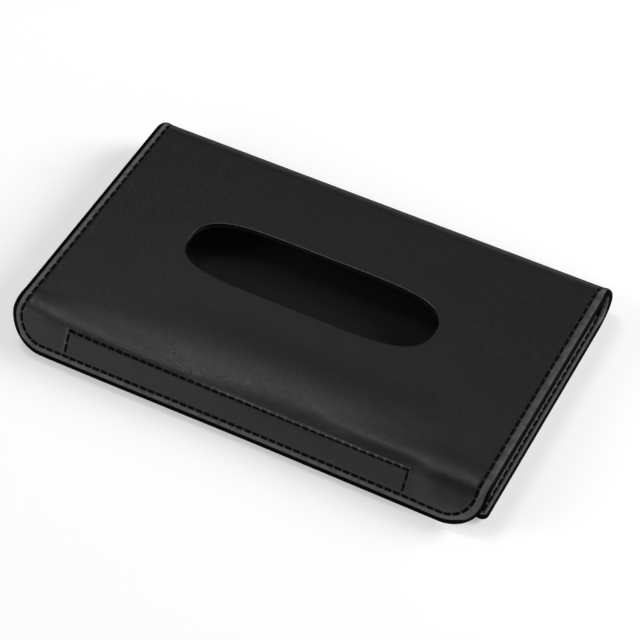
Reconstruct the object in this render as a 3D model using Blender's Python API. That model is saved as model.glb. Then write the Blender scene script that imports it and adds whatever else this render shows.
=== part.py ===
# A car tissue holder: a folded leather case with a tissue slot in its flap, a sewn hook and
# loop closure behind the sloping front, and two elastic straps that grip a sun visor.
# The case is one long sheet of layers. Each layer is drawn flat, as width, distance along
# the sheet and depth below its outer face, and is then laid along the folded section.
import math

import bmesh
import bpy
import numpy as np
from mathutils import Matrix, Vector

MM = 0.001

# Gaps
CLEARANCE = 0.3 * MM  # between pieces that touch
OVERRUN = 1.0 * MM  # how far a cut runs past what it cuts
MERGE = 0.001 * MM  # points closer than this are one point

# Layers of the sheet
CASE_WIDTH = 230.0 * MM
LEATHER = 0.7 * MM
BOARD = 0.6 * MM
LINING = 0.4 * MM
SIDE_HEM = 9.0 * MM  # width of the turned edge at the sides
EDGE_ROUND = 0.8 * MM
EDGE_SEGMENTS = 2
SMOOTH_ANGLE = math.radians(35)
MITRE_SHARE = 0.3  # sharpest mitre of a strip, as a share of the straight strip's width
BOARD_PLAY = 0.6 * MM  # room round a board in its pocket

# Flap
FLAP_HEIGHT = 18.9 * MM  # outer face of the flap above the outer face of the back
FLAP_FLAT = 123.0 * MM  # from the fold to the crease above the front
FRONT_ANGLE = math.radians(60.7)
FRONT_LIFT = 0.8 * MM  # near edge of the flap above the outer face of the back
BEND_REACH_SIDES = 6.0 * MM  # where the bend starts, before the crease, at the side edges
BEND_REACH_MIDDLE = 26.0 * MM
BEND_REACH_FRONT = 5.5 * MM  # where the bend ends, below the crease
FLAP_CORNER = 18.0 * MM
BEND_STEPS = 9
BEND_COLUMNS = 12

# Tissue slot
SLOT_LENGTH = 122.4 * MM
SLOT_WIDTH = 34.4 * MM
SLOT_END_POWER = 5.4  # the higher, the straighter its sides
SLOT_SIDE_POWER = 2.4  # the higher, the blunter its ends
SLOT_POINTS = 56
SLOT_FROM_FOLD = 53.9 * MM
SLOT_OFFSET = -4.2 * MM
BOARD_SLOT_MARGIN = 1.2 * MM
ARC_STEPS = 9

# Fold at the far edge
FOLD_BULGE = 10.4 * MM  # how far it stands out past the flap's flat
FOLD_UNDERCUT = 14.8 * MM  # how far it stands out past the back's flat
FOLD_WIDEST = 8.5 * MM  # height of its outermost line
FOLD_STEPS = 14
FOLD_SAMPLES = 721  # for the length along the curve

# Back panel and its turned-up lip
BACK_CORNER = 3.0 * MM
LIP_BEND = 2.6 * MM
LIP_EDGE = 0.7 * MM  # leather that shows past the loop tape
LIP_MARGIN = 3.0 * MM  # lip past each end of the tape
LIP_STEPS = 6

# Hook and loop closure
SEAM_LENGTH = 164.0 * MM  # stitched rectangle on the front
SEAM_DEPTH = 13.0 * MM
SEAM_OFFSET = -3.0 * MM
TAPE_MARGIN = 1.4 * MM  # tape past its seam
HOOK_TAPE = 0.9 * MM
LOOP_TAPE = 0.9 * MM
LOOP_WIDTH = 9.4 * MM
POCKET_BORDER = 5.0 * MM  # leather between the seam and the lining

# Stitching: each seam is one thread lying in a groove
THREAD_WIDTH = 0.7 * MM
THREAD_THICK = 0.4 * MM
THREAD_PROUD = 0.15 * MM
FLAP_INSET = 5.0 * MM
BACK_INSET = 3.0 * MM

# Elastic visor straps under the back
STRAP = 1.0 * MM
STRAP_WIDTH = 20.0 * MM
STRAP_SPACING = 124.0 * MM
STRAP_END = 10.0 * MM  # from the fold and from the near edge
TACK_LENGTH = 9.0 * MM
TACK_EDGE = 2.0 * MM  # strap that shows past its bar of stitches
TACK_BAR = 3.0 * MM  # width of that bar
TACK_RISE = 0.2 * MM
TACK_SUNK = 0.1 * MM  # how far the bar stays inside the strap's underside

# Opening
OPEN_LIFT = 0.1 * MM  # flap above the ground when it is laid fully open

# Worked out from the sizes above
HALF_WIDTH = CASE_WIDTH / 2
SHEET = LEATHER + CLEARANCE + BOARD + CLEARANCE + LINING
BOARD_TOP = LEATHER + CLEARANCE
LINING_TOP = SHEET - LINING
FRONT = (FLAP_HEIGHT - FRONT_LIFT) / math.sin(FRONT_ANGLE)
FLAP_LENGTH = FLAP_FLAT + FRONT
CLOSURE = SHEET + CLEARANCE + HOOK_TAPE + CLEARANCE + LOOP_TAPE + CLEARANCE
BASE_HEIGHT = STRAP + CLEARANCE
TACK_THICK = STRAP - CLEARANCE - TACK_RISE - TACK_SUNK
NEAR_TRIM = EDGE_ROUND * (math.sin(FRONT_ANGLE) + math.cos(FRONT_ANGLE) - 1)
CASE_DEPTH = FLAP_FLAT + FRONT * math.cos(FRONT_ANGLE) - NEAR_TRIM + FOLD_BULGE + THREAD_PROUD
FOLD_TOP_Y = CASE_DEPTH / 2 - THREAD_PROUD - FOLD_BULGE
FOLD_LINE_Y = FOLD_TOP_Y + FOLD_BULGE
FOLD_BASE_Y = FOLD_LINE_Y - FOLD_UNDERCUT
CREASE_Y = FOLD_TOP_Y - FLAP_FLAT
LIP_RISE = LIP_BEND - FLAP_HEIGHT
BACK_END_Y = CREASE_Y + (
    CLOSURE + LIP_BEND + LIP_RISE * math.cos(FRONT_ANGLE)
) / math.sin(FRONT_ANGLE)
BACK_LENGTH = FOLD_BASE_Y - BACK_END_Y
LIP_TURN = math.pi - FRONT_ANGLE
LIP_ARC = LIP_BEND * LIP_TURN
LIP_WALL = LOOP_WIDTH + 2 * LIP_EDGE
SEAM_TOP = FLAP_LENGTH - FLAP_INSET - SEAM_DEPTH
THREAD_DEPTH = THREAD_THICK - THREAD_PROUD
GROOVE_DEPTH = THREAD_DEPTH + CLEARANCE
GROOVE_WIDTH = THREAD_WIDTH + 2 * CLEARANCE
HINGE_Y = FOLD_LINE_Y - SHEET / 2
HINGE_Z = (BASE_HEIGHT + FLAP_HEIGHT + THREAD_PROUD + OPEN_LIFT) / 2


def point_on_flap(x, along, depth):
    # Flat from the fold, then a bend that starts earlier in the middle, then the straight front.
    share = min(1.0, abs(x) / HALF_WIDTH)
    reach = BEND_REACH_MIDDLE + (BEND_REACH_SIDES - BEND_REACH_MIDDLE) * share**2
    start = FLAP_FLAT - reach
    end = FLAP_FLAT + BEND_REACH_FRONT
    front = Vector((-math.cos(FRONT_ANGLE), -math.sin(FRONT_ANGLE)))
    crease = Vector((CREASE_Y, FLAP_HEIGHT))
    if along <= start:
        place = Vector((FOLD_TOP_Y - along, FLAP_HEIGHT))
        heading = Vector((-1, 0))
    elif along >= end:
        place = crease + front * (along - FLAP_FLAT)
        heading = front
    else:
        t = (along - start) / (end - start)
        first = crease + Vector((reach, 0))
        last = crease + front * BEND_REACH_FRONT
        place = first * (1 - t) ** 2 + crease * 2 * t * (1 - t) + last * t**2
        heading = ((crease - first) * (1 - t) + (last - crease) * t).normalized()
    inward = Vector((-heading.y, heading.x))
    place = place + inward * depth
    return Vector((x, place.x, place.y + BASE_HEIGHT))


def fold_curve(angle):
    # The fold's outer face: a quarter ellipse down from the flap, and one back to the back panel.
    upper = angle <= math.pi / 2
    reach = FOLD_BULGE if upper else FOLD_UNDERCUT
    rise = FLAP_HEIGHT - FOLD_WIDEST if upper else FOLD_WIDEST
    root = FOLD_LINE_Y - reach
    place = Vector((root + reach * math.sin(angle), FOLD_WIDEST + rise * math.cos(angle)))
    heading = Vector((reach * math.cos(angle), -rise * math.sin(angle))).normalized()
    return place, heading


FOLD_ANGLES = np.linspace(0, math.pi, FOLD_SAMPLES)
FOLD_PLACES = np.array([fold_curve(a)[0] for a in FOLD_ANGLES])
FOLD_RUN = np.concatenate(
    ([0], np.cumsum(np.linalg.norm(np.diff(FOLD_PLACES, axis=0), axis=1)))
)
FOLD_LENGTH = float(FOLD_RUN[-1])


def point_on_fold(x, along, depth):
    # Distance runs from the flap, over the outside, to the back panel.
    angle = float(np.interp(along, FOLD_RUN, FOLD_ANGLES))
    place, heading = fold_curve(angle)
    inward = Vector((heading.y, -heading.x))
    place = place + inward * depth
    return Vector((x, place.x, place.y + BASE_HEIGHT))


def point_on_back(x, along, depth):
    # Flat from the fold to the near edge, then round the lip's bend and up its sloping wall.
    turned = min(max(along - BACK_LENGTH, 0), LIP_ARC) / LIP_BEND
    if along <= BACK_LENGTH:
        place = Vector((FOLD_BASE_Y - along, 0))
    else:
        outward = Vector((-math.sin(turned), -math.cos(turned)))
        place = Vector((BACK_END_Y, LIP_BEND)) + outward * LIP_BEND
    heading = Vector((-math.cos(turned), math.sin(turned)))
    place = place + heading * max(along - BACK_LENGTH - LIP_ARC, 0)
    inward = Vector((heading.y, -heading.x))
    place = place + inward * depth
    return Vector((x, place.x, place.y + BASE_HEIGHT))


def material(name, colour, roughness):
    made = bpy.data.materials.new(name)
    made.use_nodes = True
    shader = made.node_tree.nodes["Principled BSDF"]
    shader.inputs["Base Color"].default_value = (*colour, 1)
    shader.inputs["Roughness"].default_value = roughness
    shader.inputs["Metallic"].default_value = 0
    made.diffuse_color = (*colour, 1)
    return made


def arc(centre, radius, start, end, steps=ARC_STEPS):
    # Points on an arc, angles in degrees.
    angles = [math.radians(start + (end - start) * i / steps) for i in range(steps + 1)]
    return [(centre[0] + radius * math.cos(a), centre[1] + radius * math.sin(a)) for a in angles]


def rectangle(x0, x1, s0, s1):
    return [(x0, s0), (x1, s0), (x1, s1), (x0, s1)]


def border(inset, length, corner, start=0.0):
    # Three sides of a panel, from the fold down one side, round the near edge and back.
    side = HALF_WIDTH - inset
    end = length - inset
    radius = max(corner - inset, 0)
    if not radius:
        return [(-side, start), (-side, end), (side, end), (side, start)]
    left = arc((-side + radius, end - radius), radius, 180, 90)
    right = arc((side - radius, end - radius), radius, 90, 0)
    return [(-side, start), *left, *right, (side, start)]


def slot_outline(length, width):
    # A superellipse: long sides that bow out a little and run into full round ends.
    def eased(share, power):
        return math.copysign(abs(share) ** (2 / power), share)

    turns = [2 * math.pi * i / SLOT_POINTS for i in range(SLOT_POINTS)]
    return [
        (
            SLOT_OFFSET + length / 2 * eased(math.cos(turn), SLOT_END_POWER),
            SLOT_FROM_FOLD + width / 2 * eased(math.sin(turn), SLOT_SIDE_POWER),
        )
        for turn in turns
    ]


def face_outwards(bm):
    # A closed shape whose signed volume is negative has its faces turned round.
    if bm.calc_volume(signed=True) < 0:
        bmesh.ops.reverse_faces(bm, faces=bm.faces)


def lies_on(edge, distance):
    return all(abs(v.co.y - distance) < MERGE for v in edge.verts)


def slab(outline, top, bottom, square_at=None):
    # A flat closed layer. Its edges are rounded, except at the distances along the sheet where
    # it meets its neighbour.
    bm = bmesh.new()
    ring = [bm.verts.new((x, s, -bottom)) for x, s in outline]
    face = bm.faces.new(ring)
    grown = bmesh.ops.extrude_face_region(bm, geom=[face])["geom"]
    lifted = [v for v in grown if isinstance(v, bmesh.types.BMVert)]
    bmesh.ops.translate(bm, verts=lifted, vec=(0, 0, bottom - top))
    face_outwards(bm)
    if square_at is not None:
        rim = [e for e in bm.edges if abs(e.verts[0].co.z - e.verts[1].co.z) < MERGE]
        rim = [e for e in rim if not any(lies_on(e, distance) for distance in square_at)]
        bmesh.ops.bevel(
            bm, geom=rim, offset=EDGE_ROUND, segments=EDGE_SEGMENTS, profile=0.5, affect="EDGES"
        )
    mesh = bpy.data.meshes.new("layer")
    bm.to_mesh(mesh)
    bm.free()
    return mesh


def cut(mesh, *cutters):
    # Takes flat cutters out of a flat layer.
    solid = bpy.data.objects.new("solid", mesh)
    bpy.context.scene.collection.objects.link(solid)
    tools = []
    for cutter in cutters:
        tool = bpy.data.objects.new("cutter", cutter)
        tool.hide_render = True
        tool.display_type = "WIRE"
        bpy.context.scene.collection.objects.link(tool)
        step = solid.modifiers.new("cut", "BOOLEAN")
        step.operation = "DIFFERENCE"
        step.solver = "EXACT"
        step.object = tool
        tools.append(tool)
    graph = bpy.context.evaluated_depsgraph_get()
    result = bpy.data.meshes.new_from_object(solid.evaluated_get(graph))
    for used in (solid, *tools):
        bpy.data.objects.remove(used)
    return result


def band(path, width, top, bottom):
    # A strip of even width along an open path, as a flat layer. Corners are mitred.
    half = width / 2
    points = [Vector(p) for p in path]
    left = []
    right = []
    runs = [(b - a).normalized() for a, b in zip(points, points[1:])]
    for p, before, after in zip(points, [runs[0], *runs], [*runs, runs[-1]]):
        heading = (before + after).normalized()
        side = Vector((-heading.y, heading.x))
        spread = half / max(heading.dot(after), MITRE_SHARE)
        left.append(p + side * spread)
        right.append(p - side * spread)
    return slab([(p.x, p.y) for p in left + right[::-1]], top, bottom)


def lay(name, mesh, place, colour, columns=(), rows=(), column_from=None):
    # Slices a flat layer where the section bends, and lays it along the section.
    bm = bmesh.new()
    bm.from_mesh(mesh)
    lowest = min(v.co.y for v in bm.verts)
    highest = max(v.co.y for v in bm.verts)
    for row in rows:
        if lowest < row < highest:
            geometry = [*bm.verts, *bm.edges, *bm.faces]
            bmesh.ops.bisect_plane(
                bm, geom=geometry, dist=MERGE, plane_co=(0, row, 0), plane_no=(0, 1, 0)
            )
    for column in columns:
        faces = [f for f in bm.faces if f.calc_center_median().y > column_from]
        edges = {e for f in faces for e in f.edges}
        corners = {v for f in faces for v in f.verts}
        bmesh.ops.bisect_plane(
            bm,
            geom=[*corners, *edges, *faces],
            dist=MERGE,
            plane_co=(column, 0, 0),
            plane_no=(1, 0, 0),
        )
    bmesh.ops.remove_doubles(bm, verts=bm.verts, dist=MERGE)
    bmesh.ops.triangulate(bm, faces=bm.faces)
    for v in bm.verts:
        v.co = place(v.co.x, v.co.y, -v.co.z)
    face_outwards(bm)
    return finish(name, bm, colour)


def finish(name, bm, colour):
    mesh = bpy.data.meshes.new(name)
    bm.to_mesh(mesh)
    bm.free()
    mesh.shade_smooth()
    mesh.set_sharp_from_angle(angle=SMOOTH_ANGLE)
    mesh.materials.append(colour)
    made = bpy.data.objects.new(name, mesh)
    bpy.context.scene.collection.objects.link(made)
    return made


def bend_rows():
    start = FLAP_FLAT - BEND_REACH_MIDDLE
    end = FLAP_FLAT + BEND_REACH_FRONT
    return [start + (end - start) * i / BEND_STEPS for i in range(BEND_STEPS + 1)]


def bend_columns():
    inner = HALF_WIDTH - FLAP_CORNER / 2
    return [inner * (2 * i / BEND_COLUMNS - 1) for i in range(BEND_COLUMNS + 1)]


def lip_rows():
    return [BACK_LENGTH + LIP_ARC * i / LIP_STEPS for i in range(LIP_STEPS + 1)]


def fold_rows():
    angles = [math.pi * i / FOLD_STEPS for i in range(1, FOLD_STEPS)]
    return [float(np.interp(a, FOLD_ANGLES, FOLD_RUN)) for a in angles]


def closure_path(low):
    # Two short sides and the top of the stitched rectangle; the edge seam is its low side.
    left = SEAM_OFFSET - SEAM_LENGTH / 2
    right = SEAM_OFFSET + SEAM_LENGTH / 2
    return [(left, low), (left, SEAM_TOP), (right, SEAM_TOP), (right, low)]


def make_hinge(flap_pieces):
    # The flap's pieces hang from one empty on the line that the fold turns about.
    hinge = bpy.data.objects.new("flap_hinge", None)
    hinge.location = (0, HINGE_Y, HINGE_Z)
    bpy.context.scene.collection.objects.link(hinge)
    for piece in flap_pieces:
        piece.data.transform(Matrix.Translation(-hinge.location))
        piece.parent = hinge


def make_flap(colours):
    outline = border(0, FLAP_LENGTH, FLAP_CORNER)
    pocket_side = HALF_WIDTH - SIDE_HEM
    pocket_end = SEAM_TOP - POCKET_BORDER
    slot = slot_outline(SLOT_LENGTH, SLOT_WIDTH)
    pocket = rectangle(-pocket_side, pocket_side, -OVERRUN, pocket_end)
    seam = border(FLAP_INSET, FLAP_LENGTH, FLAP_CORNER, -OVERRUN)
    skin = cut(
        slab(outline, 0, SHEET, (0,)),
        slab(pocket, LEATHER, SHEET + OVERRUN),
        slab(slot, -OVERRUN, SHEET + OVERRUN),
        band(seam, GROOVE_WIDTH, -OVERRUN, GROOVE_DEPTH),
        band(closure_path(FLAP_LENGTH - FLAP_INSET), GROOVE_WIDTH, -OVERRUN, GROOVE_DEPTH),
    )
    bend = (bend_columns(), bend_rows(), FLAP_FLAT - BEND_REACH_MIDDLE)
    made = [lay("flap_skin", skin, point_on_flap, colours["leather"], *bend)]

    board_side = pocket_side - BOARD_PLAY
    board_end = FLAP_FLAT - BEND_REACH_MIDDLE
    wide = 2 * BOARD_SLOT_MARGIN
    board = cut(
        slab(rectangle(-board_side, board_side, BOARD_PLAY, board_end), BOARD_TOP, BOARD_TOP + BOARD),
        slab(
            slot_outline(SLOT_LENGTH + wide, SLOT_WIDTH + wide),
            BOARD_TOP - OVERRUN,
            SHEET + OVERRUN,
        ),
    )
    made.append(lay("flap_board", board, point_on_flap, colours["board"]))

    lining_side = pocket_side - CLEARANCE
    lining = cut(
        slab(rectangle(-lining_side, lining_side, 0, pocket_end - CLEARANCE), LINING_TOP, SHEET),
        slab(slot, -OVERRUN, SHEET + OVERRUN),
    )
    made.append(lay("flap_lining", lining, point_on_flap, colours["lining"], *bend))

    thread = band(
        border(FLAP_INSET, FLAP_LENGTH, FLAP_CORNER), THREAD_WIDTH, -THREAD_PROUD, THREAD_DEPTH
    )
    made.append(lay("flap_edge_thread", thread, point_on_flap, colours["thread"], *bend))
    return made


def make_hook(colours):
    left = SEAM_OFFSET - SEAM_LENGTH / 2
    right = SEAM_OFFSET + SEAM_LENGTH / 2
    seam_low = FLAP_LENGTH - FLAP_INSET
    hook_outline = rectangle(
        left - TAPE_MARGIN, right + TAPE_MARGIN, SEAM_TOP - TAPE_MARGIN, seam_low + TAPE_MARGIN
    )
    hook = slab(hook_outline, SHEET + CLEARANCE, SHEET + CLEARANCE + HOOK_TAPE)
    bend = (bend_columns(), bend_rows(), FLAP_FLAT - BEND_REACH_MIDDLE)
    made = [lay("hook_tape", hook, point_on_flap, colours["hook"], *bend)]
    low = seam_low - THREAD_WIDTH / 2 - CLEARANCE
    thread = band(closure_path(low), THREAD_WIDTH, -THREAD_PROUD, THREAD_DEPTH)
    made.append(lay("closure_thread", thread, point_on_flap, colours["thread"], *bend))
    return made


def make_loop(colours):
    left = SEAM_OFFSET - SEAM_LENGTH / 2
    right = SEAM_OFFSET + SEAM_LENGTH / 2
    foot = BACK_LENGTH + LIP_ARC + LIP_EDGE
    outer = -CLEARANCE - LOOP_TAPE
    sunk = outer + THREAD_DEPTH
    sheet = rectangle(left - TAPE_MARGIN, right + TAPE_MARGIN, foot, foot + LOOP_WIDTH)
    tape = cut(
        slab(sheet, outer, -CLEARANCE),
        ring(left, right, foot, GROOVE_WIDTH, outer - OVERRUN, sunk + CLEARANCE),
    )
    lay("loop_tape", tape, point_on_back, colours["loop"])
    thread = ring(left, right, foot, THREAD_WIDTH, outer, sunk)
    lay("loop_tape_thread", thread, point_on_back, colours["thread"])


def ring(left, right, foot, width, top, bottom):
    # A closed seam round the loop tape, one tape margin inside its edge.
    low = foot + TAPE_MARGIN
    high = foot + LOOP_WIDTH - TAPE_MARGIN
    out = width / 2
    outside = slab(rectangle(left - out, right + out, low - out, high + out), top, bottom)
    inside = rectangle(left + out, right - out, low + out, high - out)
    return cut(outside, slab(inside, top - OVERRUN, bottom + OVERRUN))


def make_back(colours):
    lip_left = SEAM_OFFSET - SEAM_LENGTH / 2 - TAPE_MARGIN - LIP_MARGIN
    lip_right = SEAM_OFFSET + SEAM_LENGTH / 2 + TAPE_MARGIN + LIP_MARGIN
    lip_end = BACK_LENGTH + LIP_ARC + LIP_WALL
    panel = border(0, BACK_LENGTH, BACK_CORNER)
    half = len(panel) // 2
    tongue = rectangle(lip_left, lip_right, BACK_LENGTH, lip_end)
    outline = panel[:half] + [tongue[0], tongue[3], tongue[2], tongue[1]] + panel[half:]
    pocket_side = HALF_WIDTH - SIDE_HEM
    pocket_end = BACK_LENGTH - SIDE_HEM
    seam = border(BACK_INSET, BACK_LENGTH, BACK_CORNER, -OVERRUN)
    skin = cut(
        slab(outline, 0, SHEET, (0,)),
        slab(
            rectangle(-pocket_side, pocket_side, -OVERRUN, pocket_end), LEATHER, SHEET + OVERRUN
        ),
        band(seam, GROOVE_WIDTH, SHEET - GROOVE_DEPTH, SHEET + OVERRUN),
    )
    lay("back_skin", skin, point_on_back, colours["leather"], (), lip_rows())

    board_side = pocket_side - BOARD_PLAY
    board = slab(
        rectangle(-board_side, board_side, BOARD_PLAY, pocket_end - BOARD_PLAY),
        BOARD_TOP,
        BOARD_TOP + BOARD,
    )
    lay("back_board", board, point_on_back, colours["board"])
    lining_side = pocket_side - CLEARANCE
    lining = slab(
        rectangle(-lining_side, lining_side, 0, pocket_end - CLEARANCE), LINING_TOP, SHEET
    )
    lay("back_lining", lining, point_on_back, colours["lining"])
    thread = band(
        border(BACK_INSET, BACK_LENGTH, BACK_CORNER),
        THREAD_WIDTH,
        SHEET - THREAD_DEPTH,
        SHEET + THREAD_PROUD,
    )
    lay("back_edge_thread", thread, point_on_back, colours["thread"])


def make_fold(colours):
    start = CLEARANCE
    end = FOLD_LENGTH - CLEARANCE
    pocket_side = HALF_WIDTH - SIDE_HEM
    seams = []
    for side in (-1, 1):
        first = (side * (HALF_WIDTH - FLAP_INSET), 0)
        last = (side * (HALF_WIDTH - BACK_INSET), FOLD_LENGTH)
        seams.append([first, last])
    skin = cut(
        slab(rectangle(-HALF_WIDTH, HALF_WIDTH, start, end), 0, SHEET, (start, end)),
        slab(rectangle(-pocket_side, pocket_side, -OVERRUN, end + OVERRUN), LEATHER, SHEET + OVERRUN),
        *[band(seam, GROOVE_WIDTH, -OVERRUN, GROOVE_DEPTH) for seam in seams],
    )
    lay("fold_skin", skin, point_on_fold, colours["leather"], (), fold_rows())
    lining_side = pocket_side - CLEARANCE
    lining = slab(rectangle(-lining_side, lining_side, start, end), LINING_TOP, SHEET)
    lay("fold_lining", lining, point_on_fold, colours["lining"], (), fold_rows())
    for name, seam in zip(("fold_thread_left", "fold_thread_right"), seams):
        a = Vector(seam[0]).lerp(Vector(seam[1]), CLEARANCE / FOLD_LENGTH)
        b = Vector(seam[1]).lerp(Vector(seam[0]), CLEARANCE / FOLD_LENGTH)
        thread = band([a, b], THREAD_WIDTH, -THREAD_PROUD, THREAD_DEPTH)
        lay(name, thread, point_on_fold, colours["thread"], (), fold_rows())


def make_straps(colours):
    top = -CLEARANCE
    thin = top - TACK_THICK
    for name, side in (("left", -1), ("right", 1)):
        middle = side * STRAP_SPACING / 2
        x0 = middle - STRAP_WIDTH / 2
        x1 = middle + STRAP_WIDTH / 2
        start = STRAP_END
        end = BACK_LENGTH - STRAP_END
        tops = ((start - OVERRUN, start + TACK_LENGTH), (end - TACK_LENGTH, end + OVERRUN))
        strap = cut(
            slab(rectangle(x0, x1, start, end), top - STRAP, top),
            *[
                slab(rectangle(x0 - OVERRUN, x1 + OVERRUN, a, b), top - STRAP - OVERRUN, thin)
                for a, b in tops
            ],
        )
        lay(f"visor_strap_{name}", strap, point_on_back, colours["elastic"])
        middles = (start + TACK_LENGTH / 2, end - TACK_LENGTH / 2)
        for where, s in zip(("far", "near"), middles):
            bar = rectangle(x0 + TACK_EDGE, x1 - TACK_EDGE, s - TACK_BAR / 2, s + TACK_BAR / 2)
            # The bar sits in the strap's thinned end, clear of what the case lies on.
            tack = slab(bar, thin - CLEARANCE - TACK_RISE, thin - CLEARANCE)
            lay(f"strap_tack_{name}_{where}", tack, point_on_back, colours["thread"])


def build():
    for old in list(bpy.data.objects):
        bpy.data.objects.remove(old)
    colours = {
        "leather": material("black leather", (0.030, 0.030, 0.031), 0.45),
        "lining": material("black lining", (0.012, 0.012, 0.013), 0.9),
        "board": material("grey board", (0.30, 0.29, 0.27), 0.85),
        "thread": material("black thread", (0.010, 0.010, 0.010), 0.6),
        "hook": material("hook tape", (0.016, 0.016, 0.017), 0.75),
        "loop": material("loop tape", (0.014, 0.014, 0.015), 0.95),
        "elastic": material("elastic", (0.018, 0.018, 0.019), 0.85),
    }
    make_hinge(make_flap(colours) + make_hook(colours))
    make_loop(colours)
    make_back(colours)
    make_fold(colours)
    make_straps(colours)


build()
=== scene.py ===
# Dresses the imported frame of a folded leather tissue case: leather, linings, tapes, stitching and straps
import math

import bpy
import numpy as np
from mathutils import Matrix, Vector


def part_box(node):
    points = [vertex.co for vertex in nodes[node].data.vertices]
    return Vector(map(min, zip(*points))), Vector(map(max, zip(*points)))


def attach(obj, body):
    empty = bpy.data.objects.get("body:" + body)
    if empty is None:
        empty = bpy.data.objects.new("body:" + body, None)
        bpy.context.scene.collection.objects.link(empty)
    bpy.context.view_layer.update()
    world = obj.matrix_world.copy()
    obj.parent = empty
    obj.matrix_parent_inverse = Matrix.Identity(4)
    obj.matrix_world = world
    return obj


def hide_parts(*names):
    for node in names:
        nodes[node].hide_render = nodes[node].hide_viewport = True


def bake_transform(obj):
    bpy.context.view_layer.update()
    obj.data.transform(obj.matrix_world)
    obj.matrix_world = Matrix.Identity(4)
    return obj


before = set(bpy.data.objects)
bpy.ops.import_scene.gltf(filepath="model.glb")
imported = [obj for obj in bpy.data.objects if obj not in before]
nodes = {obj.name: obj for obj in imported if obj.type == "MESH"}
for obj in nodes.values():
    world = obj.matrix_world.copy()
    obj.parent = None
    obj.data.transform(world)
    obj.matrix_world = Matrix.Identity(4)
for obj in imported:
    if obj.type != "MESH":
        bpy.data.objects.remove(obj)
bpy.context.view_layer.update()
mm = 0.001
closeEnough = 0.002 * mm  # points nearer than this are merged


class Values(dict):
    # a dictionary of a piece's values, which are also read as values.name
    __getattr__ = dict.__getitem__


def span(*places):
    return [place * mm for place in places]


case = Values(
    halfWidth=115.0 * mm,
    sheet=2.3 * mm,  # leather, board and lining together
    leather=0.7 * mm,
    lining=0.4 * mm,
    clearance=0.3 * mm,  # between pieces that touch
    hem=9.0 * mm,  # leather turned over the edge
    flapSeam=5.0 * mm,  # from the edge
    backSeam=3.0 * mm,
    flapHeight=18.9 * mm,
    flapFlat=123.0 * mm,
    flapLength=143.755 * mm,
    flapCorner=18.0 * mm,
    frontAngle=math.radians(60.7),
    reachSides=6.0 * mm,  # the bend starts this far before the crease
    reachMiddle=26.0 * mm,
    reachFront=5.5 * mm,
    foldBulge=10.4 * mm,
    foldUndercut=14.8 * mm,
    foldWidest=8.5 * mm,
    foldLap=4.0 * mm,  # the fold's leather runs this far onto the flats
    backLength=119.032 * mm,
    backCorner=3.0 * mm,
    lipBend=2.6 * mm,
    lipWall=10.8 * mm,
    baseHeight=1.3 * mm,
)
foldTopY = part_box("flap_skin")[1].y
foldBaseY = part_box("back_skin")[1].y
foldLineY = foldTopY + case.foldBulge
lipTurn = math.pi - case.frontAngle
lipArc = case.lipBend * lipTurn


# Where the flat leather goes: width, distance along the sheet and height over its outer face
def placed(x, y, z, headingY, headingZ, side, height):
    size = np.hypot(headingY, headingZ)
    y = y + side * headingZ / size * height
    z = z - side * headingY / size * height
    return np.stack([x, y, z + case.baseHeight], 1)


def eased(value, low, high):
    share = np.clip((value - low) / (high - low), 0, 1)
    return share * share * (3 - 2 * share)


def window(value, comes, full, goes, gone):
    return eased(value, comes, full) * (1 - eased(value, goes, gone))


# The leather's slack over the bend: how far it stands out, and where that comes, is full, goes and is gone
slack = Values(
    bulge=0.6 * mm,  # outer leather over the board's front edge
    bulgeAcross=span(15, 78),  # its middle and half its width
    bulgeAlong=span(100, 9),
    sag=0.9 * mm,  # between the board and the closure
    sagAcross=span(-30, 20, 76, 90),
    sagComes=span(109, 115),  # along the sheet, to the left and to the right of sagLater
    sagLater=span(20, 70),
    sagAlong=span(121.5, 124, 138),  # full, goes, gone
    left=1.5 * mm,  # the left half turns down later
    leftAcross=span(-20, 85),  # counted to the left
    leftEnd=span(95, 115),  # half of it goes again
    leftAlong=span(111, 127),
    crest=0.8 * mm,  # the right half stays level for longer and then turns down faster
    crestAcross=span(30, 56, 88, 113),
    crestAlong=span(107, 120, 120, 130),
    right=1.0 * mm,  # and the right end turns down more slowly
    rightAcross=span(82, 94, 104, 112),
    rightAlong=span(124, 134, 134, 143.5),
)


def give(x, along, height):
    # how far the leather stands from its plain bend
    outer = np.clip(1 + height * 2 / case.sheet, 0, 1)
    middle, half = slack.bulgeAcross
    place, width = slack.bulgeAlong
    out = slack.bulge * outer * np.maximum(0, 1 - ((x - middle) / half) ** 2)
    out = out * np.exp(-(((along - place) / width) ** 2))
    first, last = slack.sagComes
    comes = first + (last - first) * eased(x, *slack.sagLater)
    out -= slack.sag * window(x, *slack.sagAcross) * window(along, comes, *slack.sagAlong)
    left = eased(-x, *slack.leftAcross) * (1 - 0.5 * eased(-x, *slack.leftEnd))
    out += slack.left * left * eased(along, *slack.leftAlong)
    out += slack.crest * window(x, *slack.crestAcross) * window(along, *slack.crestAlong)
    out += closureRelief(x, along) * outer
    return out + slack.right * window(x, *slack.rightAcross) * window(along, *slack.rightAlong)


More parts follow.
